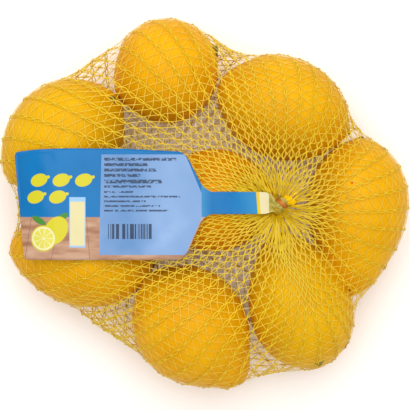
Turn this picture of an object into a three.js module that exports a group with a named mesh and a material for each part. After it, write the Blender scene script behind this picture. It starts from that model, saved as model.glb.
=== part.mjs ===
// A net bag of eight lemons lying on the ground, one fruit deep.
//
// The bag is a knitted tube of net, closed at both ends. Each end is gathered into a neck that a
// flat metal clip squeezes, with a short tuft of net left beyond the clip. One neck stands in the
// hollow between the lemons on top and also holds the neck of the card label, which lies across
// the fruit. The other neck is tucked into a hollow underneath.
//
// Millimetres, +Z up. The origin is on the ground, under the middle of the whole.

import * as THREE from 'three';

// ---- The fruit -------------------------------------------------------------------------------
// x, y: where a lemon's middle is. turn: the way its blossom end points, counted from +X towards
// +Y, and rise: how far that end points up, in degrees. nipple: how far the blossom end sticks
// out past the oval body. taper: how much narrower the blossom half is, as a share of the width.
const LEMONS = [
  { x: -81, y: 38.5, turn: 216, rise: 0, length: 79.5, width: 61.5, nipple: 4, taper: 0.02 },
  { x: -22, y: 76, turn: 203, rise: -12, length: 64, width: 60, nipple: 3, taper: 0.0 },
  { x: 45.5, y: 54.5, turn: 160, rise: 0, length: 80, width: 58.5, nipple: 3, taper: -0.03 },
  { x: 87.3, y: -4, turn: 266, rise: 4, length: 91, width: 57.5, nipple: 9, taper: 0.08 },
  { x: 54, y: -57, turn: 108, rise: 16, length: 84, width: 59, nipple: 5, taper: 0.1 },
  { x: -8, y: -70, turn: 312, rise: 0, length: 82, width: 64, nipple: 8, taper: 0.02 },
  { x: -70, y: -30, turn: 172, rise: 0, length: 83, width: 58, nipple: 4, taper: 0.06 },
  { x: 6, y: 2, turn: 0, rise: 0, length: 71, width: 59, nipple: 4, taper: 0.02 },
];
const STEM_BUTTON = 2;     // how far the stem end sticks out past the oval body
const NIPPLE_SPREAD = 0.06; // how quickly the nipple falls away, as 1 - cos of the angle
const BUTTON_SPREAD = 0.03;
const LEMON_PRESS = 1.3;   // how much of a lemon's underside is pressed flat on the ground

// ---- The net ---------------------------------------------------------------------------------
const CHAINS = 64;         // lengthwise chains of stitches round the tube
const ROWS = 42;           // rows of mesh from one neck to the other
const NET_STAND_OFF = 1.0; // from a lemon's skin to the outside of the net
// A thread pulls its two knots together: steadily, a little more the longer it is, and hard once
// it is longer than the slack knit allows.
const ALONG_CHAIN = { pull: 0.4, spring: 0.12, limit: 6.8, hardness: 2 };
const ACROSS_CHAINS = { pull: 1.5, spring: 0.15, limit: 10.5, hardness: 0.8 };
const SETTLING_ROUNDS = 1500;
const GAIN = 0.7;          // how far towards its balance a knot goes in a round
const MOMENTUM = 0.85;     // how much of its last move it makes again
const START_RADIUS = 160;  // the slack net before it is pulled tight
const START_HEIGHT = 95;
// Where the net spans the outer hollow between two lemons, its own stiffness keeps its outermost
// fold out, nearly straight. Each fold is a slim spindle at height z that the net lies round.
const FOLDS = [
  { x: -59, y: 77, z: 25, turn: 33.6, length: 84, width: 16 },
  { x: 0.7, y: 91.6, z: 27, turn: -37, length: 40, width: 12 },
  { x: 38.9, y: -92.7, z: 22, turn: 10.9, length: 70, width: 12 },
  { x: -53.5, y: -66.8, z: 25, turn: -34.6, length: 90, width: 16 },
];

// The necks. Each runs from its foot, where it leaves the bag, through its knee to the end of its
// tuft. Its profile gives how far along that way it is how thick, as shares and millimetres.
const NECK_RINGS = 14;     // rings of net from the foot to the end of the tuft
const NECK_RADIUS = 2.6;
const NECK_PROFILE = [[0, 4], [0.12, 3.2], [0.25, NECK_RADIUS], [0.85, NECK_RADIUS], [0.94, 3.6], [1, 4.2]];
const CLIP_SHARE = 0.69;  // how far along the neck the clip's middle is
const UP = new THREE.Vector3(0, 0, 1);
const DOWN = new THREE.Vector3(0, 0, -1);
const TOP_NECK = {
  out: UP,
  foot: new THREE.Vector3(41.4, -2.6, 48.2),
  knee: new THREE.Vector3(38.8, -4.6, 58.4),
  tip: new THREE.Vector3(47.6, 4.6, 54.6),
};
const BASE_NECK = {
  out: DOWN,
  foot: new THREE.Vector3(-38, 4, 11.3),
  knee: new THREE.Vector3(-38, 4, 6),
  tip: new THREE.Vector3(-38, 4, 0.4),
};

// ---- The clips -------------------------------------------------------------------------------
const CLIP_WIDTH = 2.3;
const CLIP_THICKNESS = 0.8;
const CLIP_CLEARANCE = 0.45;
const CLIP_SIDES = 28;

// ---- The label -------------------------------------------------------------------------------
// Its outline from the free end to the clip: how far along, and its two edges. Its thickness
// stands for the folded film and the card in it.
const LABEL_THICKNESS = 0.6;
const LABEL_GAP = 0.35;    // between the label and the highest net under it
const LABEL_OUTLINE = [
  { x: -98, low: -31.5, high: 29.6 },
  { x: -14, low: -31.2, high: 28.8 },
  { x: -10.2, low: -28.5, high: 26.5 },
  { x: -1.4, low: -8.6, high: 9.4 },
  { x: 3, low: -5.9, high: 6.5 },
  { x: 33, low: -5.9, high: 6.4 },
  { x: 36.4, low: -4.6, high: 5.2 },
];
const LABEL_END_SLANT = [-101.5, -105.8]; // where the free end is, at its low and high edge
const LABEL_STEPS = 44;    // along the label
const LABEL_LANES = 8;     // across it
const LABEL_TIP_HEIGHT = 51.6; // where its narrow end goes under the clip

// ---- Materials -------------------------------------------------------------------------------
function matt(color, roughness, metalness = 0) {
  return new THREE.MeshStandardMaterial({ color, roughness, metalness });
}
const netAndFruit = matt(0xe8b813, 0.55);
const labelFilm = matt(0x2f7fc0, 0.3);
const clipMetal = matt(0xc9702f, 0.35, 0.9);

// ---- A lemon's form --------------------------------------------------------------------------
// A lemon is round about its long axis. Its skin is given by how far it is from the middle in a
// direction whose cosine to the blossom end is c. A fold's spindle is the same, with bare ends.
function skinReach(form, c) {
  const halfLength = (form.length - form.nipple - form.button) / 2;
  const halfWidth = (form.width / 2) * (1 - form.taper * c);
  const oval = 1 / Math.sqrt((c * c) / (halfLength * halfLength) + (1 - c * c) / (halfWidth * halfWidth));
  const nipple = form.nipple * Math.exp((c - 1) / NIPPLE_SPREAD);
  const button = form.button * Math.exp((-c - 1) / BUTTON_SPREAD);
  return oval + nipple + button;
}

function longAxis({ turn, rise }) {
  const [t, r] = [turn, rise].map(THREE.MathUtils.degToRad);
  return [Math.cos(t) * Math.cos(r), Math.sin(t) * Math.cos(r), Math.sin(r)];
}

// The middle's height is what puts the lowest skin just below the ground, where it is flattened.
function layDown(sizes) {
  const lemon = { ...sizes, button: STEM_BUTTON };
  const rise = THREE.MathUtils.degToRad(lemon.rise);
  let lowest = 0;
  for (let tilt = -90; tilt <= 90; tilt += 1) {
    const lean = THREE.MathUtils.degToRad(tilt);
    const c = Math.sin(lean) * Math.cos(rise) - Math.cos(lean) * Math.sin(rise);
    lowest = Math.max(lowest, skinReach(lemon, c) * Math.cos(lean));
  }
  const middle = [lemon.x, lemon.y, lowest - LEMON_PRESS + NET_STAND_OFF];
  return { ...lemon, axis: longAxis(lemon), middle };
}

function holdOut(sizes) {
  const fold = { ...sizes, rise: 0, nipple: 0, button: 0, taper: 0 };
  return { ...fold, axis: longAxis(fold), middle: [fold.x, fold.y, fold.z] };
}

// Moves the point at `at` in `points` straight out through the skin if it is inside a form.
function pushOutOf(form, points, at) {
  const dx = points[at] - form.middle[0];
  const dy = points[at + 1] - form.middle[1];
  const dz = points[at + 2] - form.middle[2];
  const distance = Math.sqrt(dx * dx + dy * dy + dz * dz);
  if (distance > form.length / 2 + form.nipple + NET_STAND_OFF) return;
  const [ax, ay, az] = form.axis;
  const c = (dx * ax + dy * ay + dz * az) / distance;
  const short = skinReach(form, c) + NET_STAND_OFF - distance;
  if (short <= 0) return;
  const step = 0.001;
  const slope = (skinReach(form, Math.min(1, c + step)) - skinReach(form, c - step)) / (2 * step);
  const bend = slope / distance;
  const nx = dx / distance - bend * (ax - (c * dx) / distance);
  const ny = dy / distance - bend * (ay - (c * dy) / distance);
  const nz = dz / distance - bend * (az - (c * dz) / distance);
  const steepness = nx * nx + ny * ny + nz * nz;
  points[at] += (short * nx) / steepness;
  points[at + 1] += (short * ny) / steepness;
  points[at + 2] += (short * nz) / steepness;
}

// ---- The net's form --------------------------------------------------------------------------
function alongNeck(neck, share) {
  const way = new THREE.QuadraticBezierCurve3(neck.foot, neck.knee, neck.tip);
  return { point: way.getPoint(share), axis: way.getTangent(share) };
}

// One ring of net round a neck: chain after chain, in the order of the way each one sets off.
function neckRing(neck, share, radius) {
  const { point, axis } = alongNeck(neck, share);
  const lean = new THREE.Quaternion().setFromUnitVectors(neck.out, axis);
  const ring = [];
  for (let chain = 0; chain < CHAINS; chain += 1) {
    const angle = (2 * Math.PI * chain) / CHAINS;
    const spoke = new THREE.Vector3(Math.cos(angle), Math.sin(angle), 0).applyQuaternion(lean);
    ring.push(point.clone().addScaledVector(spoke, radius));
  }
  return ring;
}

function neckRadius(share) {
  const after = Math.max(1, NECK_PROFILE.findIndex(([there]) => there >= share));
  const [from, to] = [NECK_PROFILE[after - 1], NECK_PROFILE[after]];
  return THREE.MathUtils.mapLinear(share, from[0], to[0], from[1], to[1]);
}

// The rings of net past a neck's foot, on to the end of its tuft.
function neckRings(neck) {
  const rings = [];
  for (let ring = 1; ring <= NECK_RINGS; ring += 1) {
    rings.push(neckRing(neck, ring / NECK_RINGS, neckRadius(ring / NECK_RINGS)));
  }
  return rings;
}

// The slack net hangs as a wide drum round all the fruit, from one neck's foot to the other's.
function slackNet() {
  const points = new Float64Array(CHAINS * (ROWS + 1) * 3);
  const [topRing, baseRing] = [TOP_NECK, BASE_NECK].map((neck) => neckRing(neck, 0, neckRadius(0)));
  for (let chain = 0; chain < CHAINS; chain += 1) {
    const angle = (2 * Math.PI * chain) / CHAINS;
    const rim = new THREE.Vector3(START_RADIUS * Math.cos(angle), START_RADIUS * Math.sin(angle), 0);
    for (let row = 0; row <= ROWS; row += 1) {
      const way = row / ROWS;
      const onTop = way < 0.5;
      const neckPoint = onTop ? topRing[chain] : baseRing[chain];
      const outwards = Math.min(1, 2.4 * (onTop ? way : 1 - way));
      const point = neckPoint.clone().lerp(rim, outwards);
      if (row > 0 && row < ROWS) point.z = onTop ? START_HEIGHT * (1 - way) : START_HEIGHT * 0.5 * (1 - way);
      point.toArray(points, (chain * (ROWS + 1) + row) * 3);
    }
  }
  return points;
}

// Pulls the net tight: every knot moves to where the pulls of its four threads balance, and then
// out of the forms inside and off the ground, over and over.
function tightNet(forms) {
  let points = slackNet();
  const moves = new Float64Array(points.length);
  const at = (chain, row) => (((chain + CHAINS) % CHAINS) * (ROWS + 1) + row) * 3;
  const balance = [0, 0, 0, 0];
  const addPull = (knot, other, thread) => {
    const dx = points[other] - points[knot];
    const dy = points[other + 1] - points[knot + 1];
    const dz = points[other + 2] - points[knot + 2];
    const length = Math.sqrt(dx * dx + dy * dy + dz * dz);
    const tight = Math.max(0, 1 - thread.limit / Math.max(length, 0.1));
    const weight = thread.pull / Math.max(length, 0.5) + thread.spring + thread.hardness * tight;
    balance[3] += weight;
    for (let k = 0; k < 3; k += 1) balance[k] += weight * points[other + k];
  };
  for (let round = 0; round < SETTLING_ROUNDS; round += 1) {
    const next = points.slice();
    for (let chain = 0; chain < CHAINS; chain += 1) {
      for (let row = 1; row < ROWS; row += 1) {
        const knot = at(chain, row);
        balance.fill(0);
        addPull(knot, at(chain, row - 1), ALONG_CHAIN);
        addPull(knot, at(chain, row + 1), ALONG_CHAIN);
        addPull(knot, at(chain - 1, row), ACROSS_CHAINS);
        addPull(knot, at(chain + 1, row), ACROSS_CHAINS);
        for (let k = 0; k < 3; k += 1) {
          const way = balance[k] / balance[3] - points[knot + k];
          next[knot + k] += MOMENTUM * moves[knot + k] + GAIN * way;
        }
        for (const form of forms) pushOutOf(form, next, knot);
        next[knot + 2] = Math.max(0, next[knot + 2]);
        for (let k = 0; k < 3; k += 1) moves[knot + k] = next[knot + k] - points[knot + k];
      }
    }
    points = next;
  }
  return points;
}

// The closed skin of the filled bag: tuft, neck, net, neck, tuft, all as rings of the same
// number of points, with a fan over each tuft's end.
function netBagGeometry(knots) {
  const rings = neckRings(TOP_NECK).reverse();
  for (let row = 0; row <= ROWS; row += 1) {
    const ring = [];
    for (let chain = 0; chain < CHAINS; chain += 1) {
      ring.push(new THREE.Vector3().fromArray(knots, (chain * (ROWS + 1) + row) * 3));
    }
    rings.push(ring);
  }
  rings.push(...neckRings(BASE_NECK));

  const positions = rings.flat().flatMap((point) => point.toArray());
  const faces = [];
  for (let r = 0; r + 1 < rings.length; r += 1) {
    for (let chain = 0; chain < CHAINS; chain += 1) {
      const next = (chain + 1) % CHAINS;
      const [a, b] = [r * CHAINS + chain, r * CHAINS + next];
      const [c, d] = [a + CHAINS, b + CHAINS];
      faces.push(a, c, b, b, c, d);
    }
  }
  const ends = [[TOP_NECK, 0, false], [BASE_NECK, (rings.length - 1) * CHAINS, true]];
  for (const [neck, first, facesDown] of ends) {
    const hub = positions.length / 3;
    positions.push(...neck.tip.toArray());
    for (let chain = 0; chain < CHAINS; chain += 1) {
      const [a, b] = [first + chain, first + ((chain + 1) % CHAINS)];
      faces.push(...(facesDown ? [hub, b, a] : [hub, a, b]));
    }
  }
  return closedGeometry(positions, faces);
}

function closedGeometry(positions, faces) {
  const geometry = new THREE.BufferGeometry();
  geometry.setAttribute('position', new THREE.Float32BufferAttribute(positions, 3));
  geometry.setIndex(faces);
  geometry.computeVertexNormals();
  return geometry;
}

// ---- The clips' form -------------------------------------------------------------------------
// A strip of wire bent into a ring round the neck, its four edges given as a closed profile.
function clipGeometry() {
  const inner = NECK_RADIUS + CLIP_CLEARANCE;
  const outer = inner + CLIP_THICKNESS;
  const half = CLIP_WIDTH / 2;
  const profile = [[inner, -half], [outer, -half], [outer, half], [inner, half], [inner, -half]];
  return new THREE.LatheGeometry(profile.map(([x, y]) => new THREE.Vector2(x, y)), CLIP_SIDES);
}

function clipOn(neck, name) {
  const clip = new THREE.Mesh(clipGeometry(), clipMetal.clone());
  clip.name = name;
  const { point, axis } = alongNeck(neck, CLIP_SHARE);
  clip.position.copy(point);
  clip.quaternion.setFromUnitVectors(new THREE.Vector3(0, 1, 0), axis);
  return clip;
}

// ---- The label's form ------------------------------------------------------------------------
// How high the top of the tight net is at a place, taken over its triangles.
function netHeights(geometry) {
  const position = geometry.getAttribute('position');
  const index = geometry.getIndex();
  return (x, y) => {
    let height = 0;
    for (let f = 0; f < index.count; f += 3) {
      const [a, b, c] = [0, 1, 2].map((k) => index.getX(f + k));
      const [ax, ay] = [position.getX(a) - x, position.getY(a) - y];
      const [bx, by] = [position.getX(b) - x, position.getY(b) - y];
      const [cx, cy] = [position.getX(c) - x, position.getY(c) - y];
      const [wa, wb, wc] = [bx * cy - by * cx, cx * ay - cy * ax, ax * by - ay * bx];
      const area = wa + wb + wc;
      if (area <= 0 || wa < 0 || wb < 0 || wc < 0) continue;
      const z = (wa * position.getZ(a) + wb * position.getZ(b) + wc * position.getZ(c)) / area;
      height = Math.max(height, z);
    }
    return height;
  };
}

function labelEdges(x) {
  const points = LABEL_OUTLINE;
  let k = 0;
  while (k + 2 < points.length && x > points[k + 1].x) k += 1;
  const share = THREE.MathUtils.clamp((x - points[k].x) / (points[k + 1].x - points[k].x), 0, 1);
  return [
    THREE.MathUtils.lerp(points[k].low, points[k + 1].low, share),
    THREE.MathUtils.lerp(points[k].high, points[k + 1].high, share),
  ];
}

// The label is stiff: it bends one way only, and lies as a taut strip on what is highest under
// each line across it. So its height is the upper hull of those heights.
function labelHeights(places, heightOfNet) {
  const highest = places.map((x) => {
    const [low, high] = labelEdges(x);
    let top = 0;
    for (let lane = 0; lane <= 2 * LABEL_LANES; lane += 1) {
      top = Math.max(top, heightOfNet(x, THREE.MathUtils.lerp(low, high, lane / (2 * LABEL_LANES))));
    }
    return top + LABEL_GAP;
  });
  highest[highest.length - 1] = LABEL_TIP_HEIGHT;
  const hull = [];
  places.forEach((x, k) => {
    while (hull.length > 1) {
      const [p, q] = [hull[hull.length - 2], hull[hull.length - 1]];
      const turn = (places[q] - places[p]) * (highest[k] - highest[p])
        - (x - places[p]) * (highest[q] - highest[p]);
      if (turn < 0) break;
      hull.pop();
    }
    hull.push(k);
  });
  return places.map((x, k) => {
    const after = hull.findIndex((h) => h >= k);
    if (hull[after] === k) return highest[k];
    const [p, q] = [hull[after - 1], hull[after]];
    return THREE.MathUtils.mapLinear(x, places[p], places[q], highest[p], highest[q]);
  });
}

function labelGeometry(heightOfNet) {
  const tip = LABEL_OUTLINE[LABEL_OUTLINE.length - 1].x;
  const [lowEnd, highEnd] = LABEL_END_SLANT;
  const freeEnd = Math.min(lowEnd, highEnd);
  const places = [];
  for (let step = 0; step <= LABEL_STEPS; step += 1) {
    places.push(THREE.MathUtils.lerp(freeEnd, tip, step / LABEL_STEPS));
  }
  const heights = labelHeights(places, heightOfNet);
  const heightAt = (x) => {
    const place = ((x - freeEnd) / (tip - freeEnd)) * LABEL_STEPS;
    const k = Math.min(LABEL_STEPS - 1, Math.floor(place));
    return THREE.MathUtils.lerp(heights[k], heights[k + 1], place - k);
  };

  const positions = [];
  const across = LABEL_LANES + 1;
  for (const lift of [0, LABEL_THICKNESS]) {
    for (let step = 0; step <= LABEL_STEPS; step += 1) {
      for (let lane = 0; lane < across; lane += 1) {
        const share = lane / LABEL_LANES;
        const x = THREE.MathUtils.lerp(THREE.MathUtils.lerp(lowEnd, highEnd, share), tip, step / LABEL_STEPS);
        const [low, high] = labelEdges(x);
        positions.push(x, THREE.MathUtils.lerp(low, high, share), heightAt(x) + lift);
      }
    }
  }
  const layer = (LABEL_STEPS + 1) * across;
  const faces = [];
  for (let step = 0; step < LABEL_STEPS; step += 1) {
    for (let lane = 0; lane < LABEL_LANES; lane += 1) {
      const a = step * across + lane;
      const [b, c, d] = [a + across, a + 1, a + across + 1];
      faces.push(a, c, b, b, c, d);
      faces.push(layer + a, layer + b, layer + c, layer + b, layer + d, layer + c);
    }
  }
  const wall = (a, b) => faces.push(a, b, layer + b, a, layer + b, layer + a);
  for (let step = 0; step < LABEL_STEPS; step += 1) {
    const a = step * across;
    wall(a, a + across);
    wall(a + across + LABEL_LANES, a + LABEL_LANES);
  }
  for (let lane = 0; lane < LABEL_LANES; lane += 1) {
    const end = LABEL_STEPS * across + lane;
    wall(lane + 1, lane);
    wall(end, end + 1);
  }
  return closedGeometry(positions, faces);
}

// ---- Assembly --------------------------------------------------------------------------------
function named(name, geometry, material) {
  const mesh = new THREE.Mesh(geometry, material);
  mesh.name = name;
  return mesh;
}

const forms = [...LEMONS.map(layDown), ...FOLDS.map(holdOut)];
const bag = named('net_bag', netBagGeometry(tightNet(forms)), netAndFruit);
const label = named('label', labelGeometry(netHeights(bag.geometry)), labelFilm);
const part = new THREE.Group();
part.add(bag, label, clipOn(TOP_NECK, 'top_clip'), clipOn(BASE_NECK, 'base_clip'));

const reach = new THREE.Box3().setFromObject(part);
part.position.set(-(reach.min.x + reach.max.x) / 2, -(reach.min.y + reach.max.y) / 2, -reach.min.z);

export default part;
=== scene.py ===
import math

import bpy
import numpy as np
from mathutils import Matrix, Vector
from mathutils.bvhtree import BVHTree


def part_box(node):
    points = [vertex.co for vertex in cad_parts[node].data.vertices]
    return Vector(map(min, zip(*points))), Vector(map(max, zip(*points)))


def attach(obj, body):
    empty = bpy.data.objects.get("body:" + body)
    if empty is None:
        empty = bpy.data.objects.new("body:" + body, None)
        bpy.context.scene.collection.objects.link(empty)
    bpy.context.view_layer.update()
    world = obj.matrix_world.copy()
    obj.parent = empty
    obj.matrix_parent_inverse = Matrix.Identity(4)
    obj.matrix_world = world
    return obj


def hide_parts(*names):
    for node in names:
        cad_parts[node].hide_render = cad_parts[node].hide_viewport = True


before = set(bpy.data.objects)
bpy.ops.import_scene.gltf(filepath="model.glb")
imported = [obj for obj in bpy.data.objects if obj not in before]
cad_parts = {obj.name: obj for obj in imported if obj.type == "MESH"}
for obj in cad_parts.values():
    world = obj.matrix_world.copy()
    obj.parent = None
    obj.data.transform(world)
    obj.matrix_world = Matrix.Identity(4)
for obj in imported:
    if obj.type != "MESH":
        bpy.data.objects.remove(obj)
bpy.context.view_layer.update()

# Sizes are in millimetres, and the scene is in metres. The whole bag is moved so that its box is
# centred; the clip underneath, which is at BASE_CLIP_AT before that, shows by how much.
MM = 0.001
BASE_CLIP_AT = (-38, 4)
base_low, base_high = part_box("base_clip")
CENTRING = np.array([
    (base_low.x + base_high.x) / 2 - BASE_CLIP_AT[0] * MM,
    (base_low.y + base_high.y) / 2 - BASE_CLIP_AT[1] * MM,
    0,
])


# ---- The lemons -------------------------------------------------------------------------------
# Eight fresh lemons, loose in the net, each an oval body with a nipple at its blossom end. The
# peel is waxed, with fine oil pores and soft lumps, and is pressed flat where it is laid down.

# turn: the way the blossom end points, from +X towards +Y. rise: how far that end points up.
# ripe: 0 for the palest yellow of the eight, 1 for the deepest.
LEMONS = [
    dict(x=-81, y=38.5, turn=216, rise=0, length=79.5, width=61.5, nipple=4, taper=0.02, ripe=0.1),
    dict(x=-22, y=76, turn=203, rise=-12, length=64, width=60, nipple=3, taper=0.0, ripe=0.5),
    dict(x=45.5, y=54.5, turn=160, rise=0, length=80, width=58.5, nipple=3, taper=-0.03, ripe=0.3),
    dict(x=87.3, y=-4, turn=266, rise=4, length=91, width=57.5, nipple=9, taper=0.08, ripe=0.35),
    dict(x=54, y=-57, turn=108, rise=16, length=84, width=59, nipple=5, taper=0.1, ripe=0.05),
    dict(x=-8, y=-70, turn=312, rise=0, length=82, width=64, nipple=8, taper=0.02, ripe=0.4),
    dict(x=-70, y=-30, turn=172, rise=0, length=83, width=58, nipple=4, taper=0.06, ripe=0.35),
    dict(x=6, y=2, turn=0, rise=0, length=71, width=59, nipple=4, taper=0.02, ripe=1.0),
]
STEM_BUTTON = 2.0
NIPPLE_SPREAD = 0.06
BUTTON_SPREAD = 0.03
LEMON_PRESS = 1.3
NET_STAND_OFF = 1.0
SKIN_FLOOR = 0.5
SKIN_INSET = 0.15
PEEL_AROUND = 96
PEEL_ALONG = 78
# The peel's lumps are laid out over a ball of LUMP_BALL. Finer folds come in at its two ends.
LUMP_BALL = 30
LUMPS = dict(waves=30, longest=40, shortest=9, height=0.16)
END_FOLDS = dict(waves=14, longest=12, shortest=5, height=0.35)
STEM_FOLDS_SPREAD = 0.08
NIPPLE_FOLDS_SPREAD = 0.09
NIPPLE_FOLDS_SHARE = 0.7


def skin_reach(form, c):
    """How far the skin is from the middle, where c is the cosine to the blossom end."""
    half_length = (form["length"] - form["nipple"] - form["button"]) / 2
    half_width = form["width"] / 2 * (1 - form["taper"] * c)
    oval = 1 / np.sqrt(c * c / half_length**2 + (1 - c * c) / half_width**2)
    nipple = form["nipple"] * np.exp((c - 1) / NIPPLE_SPREAD)
    button = form["button"] * np.exp((-c - 1) / BUTTON_SPREAD)
    return oval + nipple + button


def long_axis(form):
    turn = math.radians(form["turn"])
    rise = math.radians(form["rise"])
    return np.array([math.cos(turn) * math.cos(rise), math.sin(turn) * math.cos(rise), math.sin(rise)])


def lay_down(form):
    """Puts the lemon's lowest skin just under the ground, where it is pressed flat."""
    form["button"] = STEM_BUTTON
    form["axis"] = long_axis(form)
    lean = np.radians(np.arange(-90, 91))
    rise = math.radians(form["rise"])
    c = np.sin(lean) * math.cos(rise) - np.cos(lean) * math.sin(rise)
    lowest = (skin_reach(form, c) * np.cos(lean)).max()
    form["middle"] = np.array([form["x"], form["y"], lowest - LEMON_PRESS + NET_STAND_OFF])


def side_axes(axis):
    """Two directions square to an axis."""
    first = np.cross(axis, [0.0, 0.0, 1.0])
    if np.linalg.norm(first) < 0.2:
        first = np.cross(axis, [0.0, 1.0, 0.0])
    first = first / np.linalg.norm(first)
    return first, np.cross(axis, first)


def soft_lumps(points, draw, waves, longest, shortest, height):
    """Smooth uneven heights over space, from a few dozen crossing waves."""
    total = np.zeros(points.shape[:-1])
    for _ in range(waves):
        way = draw.normal(size=3)
        wavelength = shortest * (longest / shortest) ** draw.random()
        way = way / np.linalg.norm(way) * 2 * math.pi / wavelength
        total += wavelength / longest * np.sin(points @ way + draw.random() * 2 * math.pi)
    return total * height / math.sqrt(waves / 2)


def linear(red, green, blue):
    """A display colour, 0 to 255, as the shader's linear values."""
    out = []
    for part in (red, green, blue):
        share = part / 255
        out.append(share / 12.92 if share <= 0.04045 else ((share + 0.055) / 1.055) ** 2.4)
    return (*out, 1.0)


def make_piece(name, points, faces, material, smooth=True):
    """A mesh object from points in millimetres."""
    mesh = bpy.data.meshes.new(name)
    mesh.from_pydata((np.asarray(points) * MM + CENTRING).tolist(), [], faces)
    mesh.polygons.foreach_set("use_smooth", [smooth] * len(mesh.polygons))
    mesh.materials.append(material)
    mesh.update()
    piece = bpy.data.objects.new(name, mesh)
    bpy.context.scene.collection.objects.link(piece)
    return piece


def new_material(name, roughness):
    """A material, its node tree and its shader."""
    material = bpy.data.materials.new(name)
    material.use_nodes = True
    shader = material.node_tree.nodes["Principled BSDF"]
    shader.inputs["Roughness"].default_value = roughness
    return material, material.node_tree, shader


def noise(tree, scale, detail):
    """Procedural noise fixed to the piece; scale is in lumps to the metre."""
    place = tree.nodes.new("ShaderNodeTexCoord")
    texture = tree.nodes.new("ShaderNodeTexNoise")
    texture.inputs["Scale"].default_value = scale
    texture.inputs["Detail"].default_value = detail
    tree.links.new(place.outputs["Object"], texture.inputs["Vector"])
    return texture.outputs["Fac"]


def ramp(tree, value, stops):
    """Turns a value into a colour by stops of (place, colour)."""
    node = tree.nodes.new("ShaderNodeValToRGB")
    elements = node.color_ramp.elements
    while len(elements) < len(stops):
        elements.new(0.5)
    for element, (place, colour) in zip(elements, stops):
        element.position = place
        element.color = colour
    tree.links.new(value, node.inputs["Fac"])
    return node.outputs["Color"]


def mottled(tree, scale, detail, tones, places=(0.3, 0.7)):
    """A colour that drifts over a piece between tones, which are given as 0 to 255."""
    stops = [(place, linear(*tone)) for place, tone in zip(places, tones)]
    return ramp(tree, noise(tree, scale, detail), stops)


def blend_colours(tree, share, first, second, kind="MIX"):
    """Goes from the first colour to the second; each value is a number, a colour or an output."""
    node = tree.nodes.new("ShaderNodeMix")
    node.data_type = "RGBA"
    node.blend_type = kind
    for value, socket in ((share, node.inputs[0]), (first, node.inputs[6]), (second, node.inputs[7])):
        if isinstance(value, (int, float, tuple)):
            socket.default_value = value
        else:
            tree.links.new(value, socket)
    return node.outputs[2]


def distance_share(tree, centre, near, far):
    """0 up to one distance from a place and 1 past another, all in millimetres."""
    place = tree.nodes.new("ShaderNodeTexCoord")
    away = tree.nodes.new("ShaderNodeVectorMath")
    away.operation = "DISTANCE"
    tree.links.new(place.outputs["Object"], away.inputs[0])
    away.inputs[1].default_value = (np.array(centre) * MM + CENTRING).tolist()
    fade = tree.nodes.new("ShaderNodeMapRange")
    fade.inputs["From Min"].default_value = near * MM
    fade.inputs["From Max"].default_value = far * MM
    tree.links.new(away.outputs["Value"], fade.inputs["Value"])
    return fade.outputs[0]


def add_bump(tree, shader, heights, distance, strength):
    node = tree.nodes.new("ShaderNodeBump")
    node.inputs["Strength"].default_value = strength
    node.inputs["Distance"].default_value = distance
    tree.links.new(heights, node.inputs["Height"])
    tree.links.new(node.outputs["Normal"], shader.inputs["Normal"])


# The lighter and the deeper patches of the palest lemon, and of the deepest.
PALE_PEEL = [(216, 161, 2), (229, 179, 3)]
DEEP_PEEL = [(228, 149, 1), (240, 168, 2)]
PEEL_PATCHES = 38
PEEL_PORES = 620
# Painted shade: the peel's colour in the pores' pits is darkened by this share.
PAINTED_PORE_SHADE = 0.80
PORE_DEPTH = 0.0005
# Small marks on the peel, as (x, y, radius, colour). They fade out between two shares of the
# radius, and lie on the skin, which is looked for up to SEARCH_HEIGHT over the lemon's middle.
SPECKS = {
    "lemon_3": [
        (34.2, 48.4, 0.5, (150, 104, 20)),
        (31.6, 49.2, 0.4, (150, 104, 20)),
        (36.4, 47.3, 0.4, (150, 104, 20)),
    ],
    "lemon_4": [
        (82.3, 11.5, 0.8, (206, 84, 4)),
        (79.5, 3.1, 1.0, (178, 142, 26)),
        (82.2, -49.5, 0.8, (110, 66, 22)),
    ],
}
SPECK_FADE = (0.5, 1.3)
SEARCH_HEIGHT = 45
SEARCH_STEP = 0.1


def skin_above(form, x, y):
    """Height of a lemon's upper skin at a place seen from above."""
    middle = form["middle"]
    heights = np.arange(middle[2], middle[2] + SEARCH_HEIGHT, SEARCH_STEP)
    offset = np.stack([np.full_like(heights, x), np.full_like(heights, y), heights], 1) - middle
    distance = np.linalg.norm(offset, axis=1)
    inside = distance < skin_reach(form, np.clip(offset @ form["axis"] / distance, -1, 1))
    return float(heights[inside].max())


def peel_material(lemon):
    """Waxed peel with fine oil pores, as yellow or as orange as this lemon is ripe."""
    material, tree, shader = new_material(lemon["name"] + " peel", 0.46)
    tones = []
    for pale, deep in zip(PALE_PEEL, DEEP_PEEL):
        tones.append([one + (other - one) * lemon["ripe"] for one, other in zip(pale, deep)])
    patches = mottled(tree, PEEL_PATCHES, 3, tones)
    # The pits of the oil pores are painted darker, as painted shade.
    pores = tree.nodes.new("ShaderNodeTexVoronoi")
    pores.inputs["Scale"].default_value = PEEL_PORES
    place = tree.nodes.new("ShaderNodeTexCoord")
    tree.links.new(place.outputs["Object"], pores.inputs["Vector"])
    shade = (PAINTED_PORE_SHADE, PAINTED_PORE_SHADE, PAINTED_PORE_SHADE, 1)
    painted_pit_shade = ramp(tree, pores.outputs["Distance"], [(0.05, shade), (0.3, (1, 1, 1, 1))])
    paint = blend_colours(tree, 1.0, patches, painted_pit_shade, "MULTIPLY")
    for x, y, radius, tone in SPECKS.get(lemon["name"], []):
        near, far = (radius * share for share in SPECK_FADE)
        off_mark = distance_share(tree, (x, y, skin_above(lemon, x, y)), near, far)
        paint = blend_colours(tree, off_mark, linear(*tone), paint)
    tree.links.new(paint, shader.inputs["Base Color"])
    add_bump(tree, shader, pores.outputs["Distance"], PORE_DEPTH, 0.35)
    shader.inputs["Specular IOR Level"].default_value = 0.08
    return material


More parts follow.
